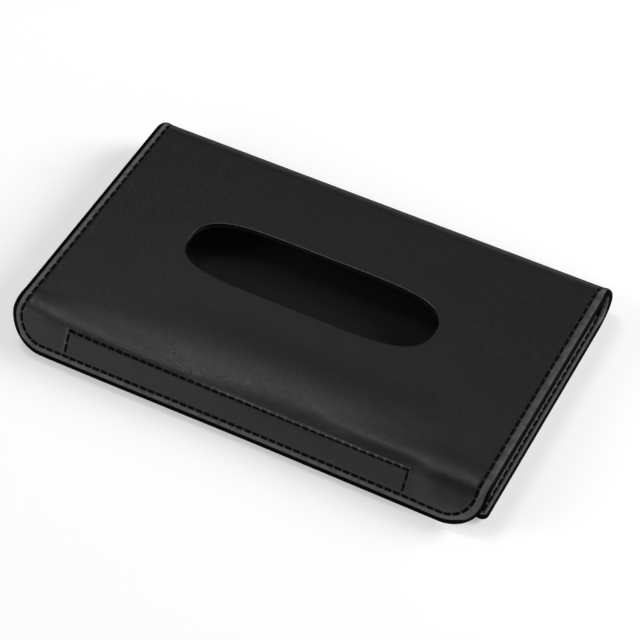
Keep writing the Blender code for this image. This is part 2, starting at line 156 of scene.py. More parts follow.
# Closure: a stitched rectangle on the front, its seam in a groove and the leather raised outside it
closure = Values(
    left=-85.0 * mm,
    right=79.0 * mm,
    top=125.755 * mm,
    depth=13.0 * mm,
    foot=case.flapLength - case.flapSeam - 1.2 * mm,  # where its side seams end
    threadProud=0.18 * mm,
    corner=1.2 * mm,
    keeps=0.41,  # share of its length that the sheet keeps in the bend, in the middle of the case
    keepsMore=0.17,  # and how much more it keeps at keepsReach
    keepsReach=85.0 * mm,
    groove=0.15 * mm,
    ridge=0.4 * mm,
    grooveEnds=span(0.3, 0.75),  # from the seam
    ridgeComes=span(0.35, 0.75),
    ridgeGoes=span(0.75, 1.6),
    reliefEnds=span(136.6, 138.2),  # along the sheet
    topToSide=span(-0.4, 0.4),
    ridgeOnTop=span(-35, 5),  # along its top the ridge starts there
    fineAlong=(121.6, 127.9, 0.35),  # finer faces: first, last and step in mm
    fineAcross=(-0.75, -0.5, -0.25, 0.0, 0.25, 0.5, 0.75, 1.15, 1.6),  # mm out from a side seam
)


def closureBox(x, along):
    # how far past the seam a place is, sideways and along the sheet, where the bend has drawn it together
    middle = (closure.left + closure.right) / 2
    outward = x / closure.keepsReach
    kept = outward * outward * closure.keepsMore + closure.keeps
    half = closure.depth / 2
    beside = abs(x - middle) - (closure.right - middle)
    return beside, (abs(along - (closure.top + half)) - half) * kept


def closureRelief(x, along):
    beside, beyond = closureBox(x, along)
    past = np.maximum(beside, beyond)
    near, far = closure.ridgeGoes
    groove = eased(np.abs(past), *closure.grooveEnds) - 1
    raised = eased(past, *closure.ridgeComes) * np.clip((far - past) / (far - near), 0, 1)
    onTop = eased(beyond - beside, *closure.topToSide)
    raised = raised * (1 - onTop * (1 - eased(x, *closure.ridgeOnTop)))
    above = 1 - eased(along, *closure.reliefEnds)
    return above * (groove * closure.groove + raised * closure.ridge)


def layOnFlap(flat):
    x, along, height = flat.T
    height = height + give(x, along, height)
    share = np.minimum(1, np.abs(x) / case.halfWidth) ** 2
    reach = case.reachMiddle + (case.reachSides - case.reachMiddle) * share
    start = case.flapFlat - reach
    end = case.flapFlat + case.reachFront
    t = np.clip((along - start) / (end - start), 0, 1)
    before = np.minimum(along - start, 0)
    past = np.maximum(along - end, 0) + case.reachFront * t**2
    frontY, frontZ = -math.cos(case.frontAngle), -math.sin(case.frontAngle)
    y = foldTopY - case.flapFlat + reach * (1 - t) ** 2 - before + past * frontY
    z = case.flapHeight + past * frontZ
    headingY = -reach * (1 - t) + case.reachFront * frontY * t
    headingZ = case.reachFront * frontZ * t
    return placed(x, y, z, headingY, headingZ, 1, height)


foldSamples = 1441
foldAngles = np.linspace(0, math.pi, foldSamples)
foldReach = np.where(foldAngles <= math.pi / 2, case.foldBulge, case.foldUndercut)
foldRise = np.where(
    foldAngles <= math.pi / 2, case.flapHeight - case.foldWidest, case.foldWidest
)
foldY = foldLineY - foldReach + foldReach * np.sin(foldAngles)
foldZ = case.foldWidest + foldRise * np.cos(foldAngles)
foldRun = np.concatenate([[0], np.cumsum(np.hypot(np.diff(foldY), np.diff(foldZ)))])
foldLength = foldRun[-1]


def layOnFold(flat):
    x, along, height = flat.T
    bent = np.clip(along, 0, foldLength)
    angle = np.interp(bent, foldRun, foldAngles)
    before = np.minimum(along, 0)
    past = np.maximum(along - foldLength, 0)
    y = np.interp(bent, foldRun, foldY) + before - past
    z = np.interp(bent, foldRun, foldZ)
    upper = angle <= math.pi / 2
    reach = np.where(upper, case.foldBulge, case.foldUndercut)
    rise = np.where(upper, case.flapHeight - case.foldWidest, case.foldWidest)
    return placed(x, y, z, reach * np.cos(angle), -rise * np.sin(angle), -1, height)


def layOnBack(flat):
    x, along, height = flat.T
    past = along - case.backLength
    turned = np.clip(past, 0, lipArc) / case.lipBend
    wall = np.maximum(past - lipArc, 0)
    headingY, headingZ = -np.cos(turned), np.sin(turned)
    y = foldBaseY - np.minimum(along, case.backLength)
    y = y - case.lipBend * np.sin(turned) + wall * headingY
    z = case.lipBend * (1 - np.cos(turned)) + wall * headingZ
    return placed(x, y, z, headingY, headingZ, -1, height)


# Small tools for meshes
def readPoints(piece):
    at = np.zeros(len(piece.data.vertices) * 3)
    piece.data.vertices.foreach_get("co", at)
    return at.reshape(-1, 3)


def writePoints(piece, at):
    piece.data.vertices.foreach_set("co", np.ascontiguousarray(at, dtype=float).ravel())
    piece.data.update()


def only(*pieces):
    bpy.ops.object.select_all(action="DESELECT")
    for piece in pieces:
        piece.select_set(True)
    bpy.context.view_layer.objects.active = pieces[0]


def named(name):
    piece = bpy.context.object
    piece.name = name
    return piece


def addGrid(name, across, along):
    bpy.ops.object.select_all(action="DESELECT")
    bpy.ops.mesh.primitive_grid_add(x_subdivisions=across, y_subdivisions=along, size=2)
    piece = named(name)
    at = readPoints(piece)
    column = np.rint((at[:, 0] + 1) / 2 * across).astype(int)
    row = np.rint((at[:, 1] + 1) / 2 * along).astype(int)
    return piece, column, row


def addBox(name, low, high):
    # a block between two flat corners: width, along, height
    bpy.ops.object.select_all(action="DESELECT")
    middle = [(a + b) / 2 for a, b in zip(low, high)]
    bpy.ops.mesh.primitive_cube_add(size=1, location=middle)
    piece = named(name)
    piece.scale = [b - a for a, b in zip(low, high)]
    bpy.ops.object.transform_apply(location=True, rotation=True, scale=True)
    return piece


def addRod(name, thickness, width, length, sides=6):
    # a rod along x
    bpy.ops.object.select_all(action="DESELECT")
    bpy.ops.mesh.primitive_cylinder_add(
        vertices=sides, radius=0.5, depth=1, rotation=(0, math.pi / 2, 0)
    )
    rod = named(name)
    rod.scale = (thickness, width, length)
    bpy.ops.object.transform_apply(location=True, rotation=True, scale=True)
    return rod


def cutAt(piece, axis, places):
    # cuts its faces across an axis, to let it bend there
    only(piece)
    bpy.ops.object.mode_set(mode="EDIT")
    normal = [float(axis == i) for i in range(3)]
    for place in places:
        bpy.ops.mesh.select_all(action="SELECT")
        bpy.ops.mesh.bisect(plane_co=[place * n for n in normal], plane_no=normal)
    bpy.ops.object.mode_set(mode="OBJECT")


def applyModifier(piece, kind, **settings):
    only(piece)
    modifier = piece.modifiers.new(kind.title(), kind)
    for key, value in settings.items():
        setattr(modifier, key, value)
    bpy.ops.object.modifier_apply(modifier=modifier.name)


def repeat(piece, count, step):
    applyModifier(
        piece, "ARRAY", count=count, use_relative_offset=False,
        use_constant_offset=True, constant_offset_displace=step,
    )


def join(name, pieces):
    only(*pieces)
    bpy.ops.object.join()
    piece = named(name)
    piece.data.name = name
    return piece


def closeUp(piece, gaps="fill"):
    # merges doubles, then fills or bridges what is open and turns the faces outwards, or leaves it
    only(piece)
    bpy.ops.object.mode_set(mode="EDIT")
    bpy.ops.mesh.select_all(action="SELECT")
    bpy.ops.mesh.remove_doubles(threshold=closeEnough)
    bpy.ops.mesh.dissolve_degenerate(threshold=closeEnough)
    if gaps == "bridge":
        bpy.ops.mesh.select_mode(type="EDGE")
        bpy.ops.mesh.select_all(action="DESELECT")
        bpy.ops.mesh.select_non_manifold(
            extend=False, use_wire=False, use_boundary=True,
            use_multi_face=False, use_non_contiguous=False, use_verts=False,
        )
        bpy.ops.mesh.bridge_edge_loops()
        bpy.ops.mesh.select_mode(type="VERT")
    bpy.ops.mesh.select_all(action="SELECT")
    if gaps == "fill":
        bpy.ops.mesh.fill_holes(sides=0)
    if gaps != "leave":
        bpy.ops.mesh.normals_make_consistent(inside=False)
    bpy.ops.object.mode_set(mode="OBJECT")


def turnFaces(piece):
    only(piece)
    bpy.ops.object.mode_set(mode="EDIT")
    bpy.ops.mesh.select_all(action="SELECT")
    bpy.ops.mesh.flip_normals()
    bpy.ops.object.mode_set(mode="OBJECT")


def writeFlat(piece, across, flow):
    # the flat sheet's own coordinates stay in the UV map, so that patterns follow the leather
    loops = np.zeros(len(piece.data.loops), dtype=int)
    piece.data.loops.foreach_get("vertex_index", loops)
    while piece.data.uv_layers:
        piece.data.uv_layers.remove(piece.data.uv_layers[0])
    piece.data.uv_layers.new(name="flat")
    uv = np.ascontiguousarray(np.stack([across, flow], 1)[loops])
    piece.data.uv_layers["flat"].data.foreach_set("uv", uv.ravel())


def smooth(piece, angle):
    only(piece)
    bpy.ops.object.shade_smooth_by_angle(angle=math.radians(angle))


def lay(piece, place, angle=40):
    # the way along the sheet is counted down the flap, and past the fold on the back
    at = readPoints(piece)
    flow = {layOnFlap: -at[:, 1], layOnFold: at[:, 1], layOnBack: at[:, 1] + foldLength}[place]
    writeFlat(piece, at[:, 0], flow)
    writePoints(piece, place(at))
    if place is layOnFlap:  # it mirrors the flat sheet
        turnFaces(piece)
    smooth(piece, angle)


def mark(piece, **values):
    # what the leather's finish reads at each point; without values it is plain leather far from any edge
    far = case.hem
    plain = {"rim": far, "seam": far, "stitch": 0, "inside": 0, "slotEdge": far}
    for name, value in {**plain, **values}.items():
        field = piece.data.attributes.new(name, "FLOAT", "POINT")
        each = np.broadcast_to(value, len(piece.data.vertices)).astype(np.float32)
        field.data.foreach_set("value", each)


def dress(piece, paint, body, stand):
    # without a body the piece goes from the back to the flap round the fold
    piece.data.materials.clear()
    piece.data.materials.append(paint)
    if body:
        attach(piece, body)
    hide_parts(stand)
    if not body:
        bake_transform(piece)


# Shader wiring
def mathNode(kind, reflected=False):
    def work(self, other=0.0):
        first, second = (other, self) if reflected else (self, other)
        return self.paint.node("ShaderNodeMath", {"operation": kind}, {0: first, 1: second})

    return work


class Wire:
    def __init__(self, paint, socket):
        self.paint = paint
        self.socket = socket

    __add__, __radd__ = mathNode("ADD"), mathNode("ADD", True)
    __sub__, __rsub__ = mathNode("SUBTRACT"), mathNode("SUBTRACT", True)
    __mul__, __rmul__ = mathNode("MULTIPLY"), mathNode("MULTIPLY", True)
    __truediv__ = mathNode("DIVIDE")
    __abs__, sine = mathNode("ABSOLUTE"), mathNode("SINE")
    most, least = mathNode("MAXIMUM"), mathNode("MINIMUM")

    def step(self, low, high):
        # 0 below low, 1 above high, smooth between
        return self.paint.node(
            "ShaderNodeMapRange", {"interpolation_type": "SMOOTHSTEP"},
            {"Value": self, "From Min": low, "From Max": high},
        )


class Paint:
    # wires up a new material, or the world
    def __init__(self, name, world=None, **fixed):
        self.owner = world or bpy.data.materials.new(name)
        self.owner.use_nodes = True
        self.tree = self.owner.node_tree
        self.shader = self.tree.nodes["Background" if world else "Principled BSDF"]
        for socket, value in fixed.items():
            self.shader.inputs[socket.replace("_", " ")].default_value = value

    def node(self, kind, settings=None, sockets=None, output=0):
        made = self.tree.nodes.new(kind)
        for key, value in (settings or {}).items():
            if key == "stops":
                for element, (position, grey) in zip(made.color_ramp.elements, value):
                    element.position = position
                    element.color = (grey, grey, grey, 1)
            else:
                setattr(made, key, value)
        for key, value in (sockets or {}).items():
            if isinstance(value, Wire):
                self.tree.links.new(value.socket, made.inputs[key])
            else:
                made.inputs[key].default_value = value
        return Wire(self, made.outputs[output])

    def set(self, socket, wire):
        self.tree.links.new(wire.socket, self.shader.inputs[socket])

    def cover(self, factor, sockets):
        # a second finish laid over the first
        second = self.node("ShaderNodeBsdfPrincipled", {}, sockets)
        first = Wire(self, self.shader.outputs[0])
        both = self.node("ShaderNodeMixShader", {}, {0: factor, 1: first, 2: second})
        self.tree.links.new(both.socket, self.tree.nodes["Material Output"].inputs[0])

    def flat(self):
        return self.node("ShaderNodeUVMap", {"uv_map": "flat"})

    def scaled(self, vector, scale):
        return self.node("ShaderNodeMapping", {}, {"Vector": vector, "Scale": scale})

    def parts(self, vector):
        made = self.node("ShaderNodeSeparateXYZ", {}, {0: vector})
        return [Wire(self, output) for output in made.socket.node.outputs]

    def noise(self, vector, scale, detail=2.0, roughness=0.5):
        return self.node(
            "ShaderNodeTexNoise", {},
            {"Vector": vector, "Scale": scale, "Detail": detail, "Roughness": roughness},
        )

    def field(self, name):
        return self.node("ShaderNodeAttribute", {"attribute_name": name}, {}, output=2)

    def mix(self, factor, first, second):
        first, second = (c if isinstance(c, Wire) else (*c, 1) for c in (first, second))
        return self.node(
            "ShaderNodeMix", {"data_type": "RGBA"}, {0: factor, 6: first, 7: second}, output=2
        )

    def bump(self, height, distance):
        # height runs from 0 to 1, distance is the height of 1
        self.set("Normal", self.node("ShaderNodeBump", {}, {"Height": height, "Distance": distance}))


# Borders: a puffed edge outside the seam, turned over to the inside
border = Values(
    spacing=1.25 * mm,
    rise=[  # share of the seam's distance from the edge, height in mm
        (0.0, -1.15), (0.03, -0.80), (0.08, -0.48), (0.16, -0.15), (0.26, 0.08), (0.38, 0.24),
        (0.52, 0.33), (0.66, 0.30), (0.78, 0.17), (0.88, -0.02), (0.95, -0.20), (1.0, -0.30),
        (1.05, -0.20), (1.13, -0.04), (1.24, 0.05), (1.4, 0.06), (1.6, 0.02), (1.75, 0.0),
    ],
    tuck=[(-0.3, 0.0), (-0.08, 0.1), (0.0, 0.3)],  # edge of the turned leather, mm past hem and sheet
    darkShare=0.75,  # of its distance from the flap's seam, by which a nearer seam shifts the dark edge
    darkComes=0.3 * mm,
    insideComes=0.4 * mm,
)


def borderProfile(seam):
    outer = [(share * seam, height * mm) for share, height in border.rise]
    hem, sheet = case.hem, case.sheet
    outside = [(hem, 0.0), *outer[::-1]]
    inside = [(inset, -sheet - height) for inset, height in outer[1:]]
    turned = [(hem + past * mm, -sheet + up * mm) for past, up in border.tuck]
    return np.array([*outside, *inside, *turned, (hem, -case.leather)])


def rimOf(seam, inset):
    # a seam nearer to the edge leaves a narrower dark edge
    shift = (case.flapSeam - seam) * border.darkShare
    return inset + shift * np.clip(inset / border.darkComes, 0, 1)


def onInside(height):
    return np.clip((-height - case.sheet / 2) / border.insideComes, 0, 1)


def borderPath(length, corner):
    start = case.foldLap
    half = case.halfWidth
    spacing = border.spacing
    side = np.linspace(start, length - corner, int((length - corner - start) / spacing) + 1)
    turn = np.linspace(0, math.pi / 2, int(corner * math.pi / 2 / spacing) + 2)[1:]
    near = np.linspace(-half + corner, half - corner, int((half - corner) * 2 / spacing) + 1)[1:]

    def at(inset):
        pulled = max(corner, inset)
        bend = max(corner - inset, 0)
        left = -half + pulled - bend * np.cos(turn)
        arc = length - pulled + bend * np.sin(turn)
        sides = np.minimum(side, length - pulled)
        x = [np.full(len(side), -half + inset), left, np.clip(near, -half + pulled, half - pulled)]
        along = [sides, arc, np.full(len(near), length - inset)]
        x += [-left[::-1][1:], np.full(len(side), half - inset)]
        along += [arc[::-1][1:], sides[::-1]]
        return np.concatenate(x), np.concatenate(along)

    return at


flapPath = borderPath(case.flapLength, case.flapCorner)
backPath = borderPath(case.backLength, case.backCorner)

stitch = Values(
    pitch=4.6 * mm,
    closer=1.17,  # stitches are shorter across the case
    wider=0.9,  # and longer along its sides
    length=3.45 * mm,
    width=0.86 * mm,
    thickness=0.5 * mm,
    cuts=(-0.8, -0.45, 0.0, 0.45, 0.8),  # shares of half its length
    taper=(0.45, 3),  # share of its width that it loses at its ends, and the power that shapes this
    dip=(0.34 * mm, 2.5),  # how far its ends go into the leather, and the same
    sunk=0.1 * mm,  # a thread's middle under the leather
    ahead=0.2 * mm,  # the seam's heading is taken over twice this
    probe=0.1 * mm,  # how much the bend narrows a dash is measured over this
    keepsLeast=0.4,  # and made good up to this share
    spacing=1.0 * mm,  # of the points along a straight seam
    smooth=60,  # degrees
)


def runOf(x, along):
    across, down = np.diff(x) * stitch.closer, np.diff(along) * stitch.wider
    return np.concatenate([[0], np.cumsum(np.hypot(across, down))])


def stitchCount(run):
    return max(1, int(round(run / stitch.pitch)))


def borderStrip(name, path, seam):
    profile = borderProfile(seam)
    rings = np.array([path(inset) for inset, height in profile])
    piece, column, row = addGrid(name, rings.shape[2] - 1, len(profile) - 1)
    inset, height = profile[row].T
    writePoints(piece, np.stack([rings[row, 0, column], rings[row, 1, column], height], 1))
    run = runOf(*path(seam))
    mark(
        piece, rim=rimOf(seam, inset), seam=np.abs(inset - seam), inside=onInside(height),
        stitch=run[column] / run[-1] * stitchCount(run[-1]),
    )
    return piece


slot = Values(
    x=-4.2 * mm,
    along=53.9 * mm,
    length=122.4 * mm,
    width=34.4 * mm,
    endPower=5.4,  # the higher, the straighter its sides
    sidePower=2.4,  # the higher, the blunter its ends
    rings=40,
    ringsEnd=1.5 * mm,  # from the slot's edge
    edge=[  # mm from the edge, share of the thickness
        (0.8, 0), (0.4, 0), (0.12, 0.06), (0, 0.2), (0, 0.8), (0.12, 0.94), (0.5, 1),
    ],
    closing=1.5,  # spacing of the points along the fold line, in spacings of the border
    halvings=40,
)


def slotReach(fromX, headX, headAlong):
    # how far the slot's edge is from points on its middle line
    low, high = np.zeros(len(fromX)), np.full(len(fromX), slot.length / 2)
    for halving in range(slot.halvings):
        middle = (low + high) / 2
        end = np.abs(fromX + middle * headX - slot.x) * 2 / slot.length
        side = np.abs(middle * headAlong) * 2 / slot.width
        inside = end ** slot.endPower + side ** slot.sidePower < 1
        low, high = np.where(inside, middle, low), np.where(inside, high, middle)
    return low


def slotSheet(name, loopX, loopAlong, top, bottom):
    # rings from a closed loop in to the slot on the outer face, and back out on the inner one; each has
    # its distance from the slot's edge, its share of the way to the loop, and its height
    shares = np.linspace(0, 1, slot.rings + 1)
    levels = [(slot.ringsEnd, 1 - share, top) for share in shares]
    levels += [(away * mm, 0, top - share * (top - bottom)) for away, share in slot.edge]
    levels += [(slot.ringsEnd, share, bottom) for share in shares]
    half = (slot.length - slot.width) / 2
    centreX = np.clip(loopX, slot.x - half, slot.x + half)
    outX, outAlong = loopX - centreX, loopAlong - slot.along
    far = np.hypot(outX, outAlong)
    piece, column, row = addGrid(name, len(loopX) - 1, len(levels) - 1)
    levels = np.array(levels)
    edge = slotReach(centreX, outX / far, outAlong / far)
    away = levels[row, 0] + levels[row, 1] * ((far - edge)[column] - levels[row, 0])
    distance = (edge[column] + away) / far[column]
    x = centreX[column] + outX[column] * distance
    along = slot.along + outAlong[column] * distance
    writePoints(piece, np.stack([x, along, levels[row, 2]], 1))
    return piece, away


def closedLoop(x, along):
    # joins the ends of a border path along the fold line
    across = int(abs(x[-1] - x[0]) / (border.spacing * slot.closing))
    lineX = np.linspace(x[-1], x[0], across + 1)[1:]
    return np.concatenate([x, lineX]), np.concatenate([along, np.full(across, along[0])])


# Leather: the flap's, the fold's and the back's pieces are parts of one sheet
facing = Values(
    start=120.8 * mm,  # the turned leather is wider behind the closure, up to the lining
    lap=0.3 * mm,
    proud=0.02 * mm,
    rows=(122.0, 134.0, 1.2),  # first, last and step in mm
    columns=42,
    smooth=60,  # degrees
)


def makeFlapLeather(paint):
    strip = borderStrip("flapBorder", flapPath, case.flapSeam)
    sheet, away = slotSheet("flapSheet", *closedLoop(*flapPath(case.hem)), 0.0, -case.leather)
    mark(sheet, slotEdge=away)
    leather = join("flap_leather", [strip, sheet])
    closeUp(leather)
    cutAt(leather, 1, np.arange(*closure.fineAlong) * mm)
    steps = np.array(closure.fineAcross) * mm
    cutAt(leather, 0, np.concatenate([closure.left - steps, closure.right + steps]))

    side, end = case.halfWidth - case.hem, case.flapLength - case.hem
    low = (-side, facing.start, -case.sheet - facing.proud)
    inner = addBox("facing", low, (side, end + facing.lap, -case.leather))
    cutAt(inner, 1, np.arange(*facing.rows) * mm)
    cutAt(inner, 0, np.linspace(-side, side, facing.columns)[1:-1])
    mark(inner, inside=1)
    leather = join("flap_leather", [leather, inner])
    lay(leather, layOnFlap, facing.smooth)
    dress(leather, paint, "flap", "flap_skin")
    print("flap leather", len(leather.data.polygons), "faces")


fold = Values(lapRows=4, rows=81, columns=26, seamPoints=60)


def foldSeam(along):
    share = np.clip(along / foldLength, 0, 1)
    return case.flapSeam + (case.backSeam - case.flapSeam) * share


def makeFoldLeather(paint):
    half, hem, lap = case.halfWidth, case.hem, case.foldLap
    start, end = -lap, foldLength + lap
    before = np.linspace(start, 0, fold.lapRows)[:-1]
    past = np.linspace(foldLength, end, fold.lapRows)[1:]
    flow = np.concatenate([before, np.linspace(0, foldLength, fold.rows), past])
    middle = np.linspace(-half + hem, half - hem, fold.columns)[1:-1]
    level, top = np.full(len(middle), -case.leather), np.zeros(len(middle))
    section = []
    for along in flow:
        inset, height = borderProfile(foldSeam(along)).T
        x = np.concatenate([-half + inset, middle, (half - inset)[::-1], middle[::-1], [-half + inset[0]]])
        lift = np.concatenate([height, level, height[::-1], top, [0]])
        section.append(np.stack([x, np.full(len(x), along), lift], 1))
    section = np.array(section)
    leather, column, row = addGrid("fold_leather", section.shape[1] - 1, len(flow) - 1)
    at = section[row, column]
    writePoints(leather, at)
    inset = np.minimum(half - np.abs(at[:, 0]), hem)
    seam = foldSeam(at[:, 1])
    run = end - start
    mark(
        leather, rim=rimOf(seam, inset), inside=onInside(at[:, 2]),
        seam=np.where(inset > hem - closeEnough, hem, np.abs(inset - seam)),
        stitch=(at[:, 1] - start) / run * stitchCount(run),
    )
    closeUp(leather)
    lay(leather, layOnFold)
    dress(leather, paint, None, "fold_skin")
    print("fold leather", len(leather.data.polygons), "faces")


lip = Values(
    left=-89.4 * mm,
    right=83.4 * mm,
    end=case.backLength + lipArc + case.lipWall,
    lap=1.6 * mm,
    sunk=0.1 * mm,
    round=0.8 * mm,
    rows=9,
    columns=(-85, 79, 30),  # first and last in mm, and how many
    rimLeast=1.0 * mm,
)


def makeBackLeather(paint):
    leather = borderStrip("back_leather", backPath, case.backSeam)
    closeUp(leather, gaps="leave")
    # the flat outer and inner sheets close the border's two inner rings
    only(leather)
    end = case.backLength - case.hem
    for level in (0.0, -case.leather):
        at = readPoints(leather)
        inner = np.abs(at[:, 2] - level) < closeEnough
        side = np.abs(np.abs(at[:, 0]) - case.halfWidth + case.hem) < closeEnough
        near = np.abs(at[:, 1] - end) < closeEnough
        chosen = inner & (side | near) & (at[:, 1] < end + closeEnough)
        bpy.ops.object.mode_set(mode="EDIT")
        bpy.ops.mesh.select_all(action="DESELECT")
        bpy.ops.object.mode_set(mode="OBJECT")
        leather.data.vertices.foreach_set("select", chosen)
        bpy.ops.object.mode_set(mode="EDIT")
        bpy.ops.mesh.edge_face_add()
        bpy.ops.object.mode_set(mode="OBJECT")
    closeUp(leather)

    low = (lip.left, case.backLength - lip.lap, -case.sheet + lip.sunk)
    turned = addBox("lip", low, (lip.right, lip.end, 0.0))
    applyModifier(turned, "BEVEL", width=lip.round, segments=3)
    cutAt(turned, 1, case.backLength + np.linspace(0, lipArc, lip.rows))
    cutAt(turned, 0, np.linspace(*lip.columns) * mm)
    x, along, height = readPoints(turned).T
    toEdge = np.minimum(lip.end - along, np.minimum(x - lip.left, lip.right - x))
    mark(turned, rim=np.clip(toEdge, lip.rimLeast, case.hem))
    leather = join("back_leather", [leather, turned])
    lay(leather, layOnBack)
    dress(leather, paint, "back", "back_skin")
    print("back leather", len(leather.data.polygons), "faces")


linings = Values(
    flapEnd=120.455 * mm,
    foldRows=61,
    round=0.1 * mm,
)


def makeLinings(paint):
    side = case.halfWidth - case.hem - case.clearance
    top, bottom = -case.sheet + case.lining, -case.sheet
    start, end = case.foldLap, linings.flapEnd
    down = np.linspace(start, end, int((end - start) / border.spacing) + 1)
    across = np.linspace(-side, side, int(2 * side / border.spacing) + 1)[1:-1]
    x = np.concatenate([np.full(len(down), -side), across, np.full(len(down), side)])
    along = np.concatenate([down, np.full(len(across), end), down[::-1]])
    flapLining, away = slotSheet("flap_lining_cloth", *closedLoop(x, along), top, bottom)
    closeUp(flapLining, gaps="bridge")
    lay(flapLining, layOnFlap)
    dress(flapLining, paint, "flap", "flap_lining")

    low = (-side, -start, bottom)
    foldLining = addBox("fold_lining_cloth", low, (side, foldLength + start, top))
    cutAt(foldLining, 1, np.linspace(0, foldLength, linings.foldRows))
    lay(foldLining, layOnFold)
    dress(foldLining, paint, None, "fold_lining")

    backEnd = case.backLength - case.hem - case.clearance
    backLining = addBox("back_lining_cloth", (-side, start, bottom), (side, backEnd, top))
    applyModifier(backLining, "BEVEL", width=linings.round, segments=2)
    lay(backLining, layOnBack)
    dress(backLining, paint, "back", "back_lining")
    print("linings")


# Stitching: one dash is modelled, repeated in a row and led along its seam
def dashRow(name, count, pitch):
    row = addRod(name, stitch.thickness, stitch.width, stitch.length)
    half = stitch.length / 2
    cutAt(row, 0, np.array(stitch.cuts) * half)
    at = readPoints(row)
    share = np.abs(at[:, 0]) / half
    (taper, taperPower), (dip, dipPower) = stitch.taper, stitch.dip
    at[:, 1:] *= (1 - taper * share**taperPower)[:, None]
    at[:, 2] -= dip * share**dipPower
    at[:, 0] += half
    writePoints(row, at)
    if count > 1:
        repeat(row, count, (pitch, 0, 0))
    return row


def sew(name, x, along, height, place, under=False, ends=0.5):
    # x and along are the seam's line on the flat leather, and height is where the thread lies
    run = runOf(x, along)
    count = stitchCount(run[-1])
    pitch = run[-1] / count
    row = dashRow(name, count, pitch)
    dashX, dashY, dashZ = readPoints(row).T
    dashX = dashX + (pitch - stitch.length) * ends
    where = np.clip(dashX, 0, run[-1])
    ahead = np.minimum(where + stitch.ahead, run[-1])
    behind = np.maximum(where - stitch.ahead, 0)
    seamX, seamAlong = np.interp(where, run, x), np.interp(where, run, along)
    headX = np.interp(ahead, run, x) - np.interp(behind, run, x)
    headAlong = np.interp(ahead, run, along) - np.interp(behind, run, along)
    size = np.hypot(headX, headAlong)

    def beside(far, lift):
        # points beside the seam
        return np.stack([seamX - far * headAlong / size, seamAlong + far * headX / size, lift], 1)

    # where the bend draws the sheet together, the outer dashes keep their width
    level = np.full(len(where), height)
    kept = np.linalg.norm(place(beside(stitch.probe, level)) - place(beside(0, level)), axis=1)
    kept = np.clip(kept / stitch.probe, stitch.keepsLeast, 1)
    writeFlat(row, dashX, dashY)
    up, wide = (-1, dashY) if under else (1, dashY / kept)
    writePoints(row, place(beside(wide, height + up * dashZ)))
    if under != (place is layOnFlap):
        turnFaces(row)
    smooth(row, stitch.smooth)
    return row


def sewThrough(name, paint, body, stand, line, place, outer, inner, ends=0.5):
    # a row of dashes on either side
    rows = [sew("outer", *line, outer, place), sew("inner", *line, inner, place, under=True, ends=ends)]
    dress(join(name, rows), paint, body, stand)


def densify(x, along):
    run = runOf(np.array(x), np.array(along))
    where = np.unique(np.concatenate([np.linspace(0, run[-1], int(run[-1] / stitch.spacing)), run]))
    return np.interp(where, run, x), np.interp(where, run, along)


def closureSeam():
    left, right, top, foot = (closure[key] for key in ("left", "right", "top", "foot"))
    corner = closure.corner
    x = [left, left, left + corner, right - corner, right, right]
    return densify(x, [foot, top + corner, top, top, top + corner, foot])


# Hook and loop tapes
tape = Values(
    left=-86.4 * mm,
    right=80.4 * mm,
    margin=1.3 * mm,  # beside the hooks and loops
    round=0.12 * mm,
    rows=1.2 * mm,  # spacing of the cuts that let it bend
    columns=34,
    seed=11,
    turns=3,  # how much of its jitter turns a hook or loop, in radians,
    moves=0.5,  # moves it, in pitches,
    shortens=0.6,  # and lowers it
)
hook = Values(
    first=124.355 * mm,
    last=140.155 * mm,
    base=0.42 * mm,
    border=1.9 * mm,
    pitch=1.55 * mm,
    height=0.46 * mm,
    wire=0.09 * mm,
    jitter=0.12,
    shares=[(0, 5 / 46), (0, -0.45), (0.06, -0.8), (0.4, -1), (0.72, -0.8), (0.75, -0.55)],
    seam=0.48 * mm,  # how far over the tape's foot the seam lies
)
loop = Values(
    foot=case.backLength + lipArc + 0.7 * mm,
    width=9.4 * mm,
    points=6,
    base=0.5 * mm,
    border=2.2 * mm,
    pitch=1.3 * mm,
    across=0.45 * mm,
    height=0.36 * mm,
    wire=0.05 * mm,
    jitter=0.9,
    seamFirst=1.4 * mm,
    seamLast=8.0 * mm,
    seamHeight=1.02 * mm,
)


def makeStitching(paint):
    top, low = -stitch.sunk, -case.sheet + stitch.sunk
    line = flapPath(case.flapSeam)
    sewThrough(
        "flap_edge_stitches", paint, "flap", "flap_edge_thread", line, layOnFlap, top, low, ends=0.9
    )
    hookFace = -case.sheet - case.clearance - hook.seam
    sewThrough(
        "closure_stitches", paint, "flap", "closure_thread",
        closureSeam(), layOnFlap, closure.threadProud, hookFace,
    )
    line = backPath(case.backSeam)
    sewThrough("back_edge_stitches", paint, "back", "back_edge_thread", line, layOnBack, top, low)

    along = np.linspace(-case.foldLap, foldLength + case.foldLap, fold.seamPoints)
    for side, name in ((-1, "left"), (1, "right")):
        line = side * (case.halfWidth - foldSeam(along)), along
        sewThrough(
            f"fold_stitches_{name}", paint, None, f"fold_thread_{name}", line, layOnFold, top, low
        )

    left, right = closure.left, closure.right
    first, last = loop.foot + loop.seamFirst, loop.foot + loop.seamLast
    line = densify([left, right, right, left, left], [last, last, first, first, last])
    ring = sew("loop_tape_stitches", *line, loop.seamHeight, layOnBack)
    dress(ring, paint, "back", "loop_tape_thread")
    print("stitching")


def tapeBase(name, first, last, low, high):
    left, right, rows = tape.left, tape.right, tape.rows
    base = addBox(name, (left, first, low), (right, last, high))
    applyModifier(base, "BEVEL", width=tape.round, segments=2)
    cutAt(base, 1, np.arange(first + rows, last - rows / 2, rows))
    cutAt(base, 0, np.linspace(left, right, tape.columns)[1:-1])
    return base


